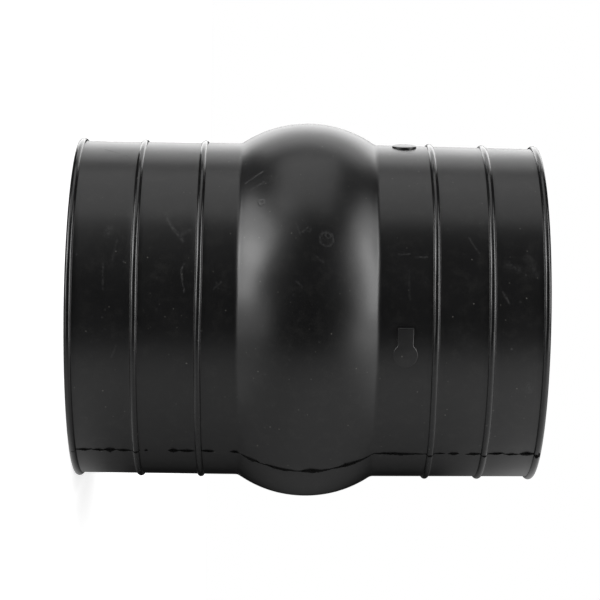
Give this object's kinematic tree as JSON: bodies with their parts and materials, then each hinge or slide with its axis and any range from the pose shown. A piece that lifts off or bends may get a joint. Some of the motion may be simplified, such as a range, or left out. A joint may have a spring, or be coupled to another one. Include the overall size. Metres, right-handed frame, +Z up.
{
  "type": "exhaust bellows",
  "caption": "Moulded rubber exhaust sleeve: plain cuffs with raised ribs and a rounded flexing hump between them.",
  "frame": {"origin": "centre of the lower mouth, on the bore's axis, in the plane that the sleeve stands on", "axes": "+Z up the bore, from the lower mouth to the upper one; -Y is the front, where the key-shaped pad faces"},
  "size_m": [0.1231, 0.1231, 0.15],
  "materials": {
    "black_rubber": "satin, moulded"
  },
  "bodies": {
    "root": {"bellows_sleeve": "black_rubber"}
  },
  "joints": []
}
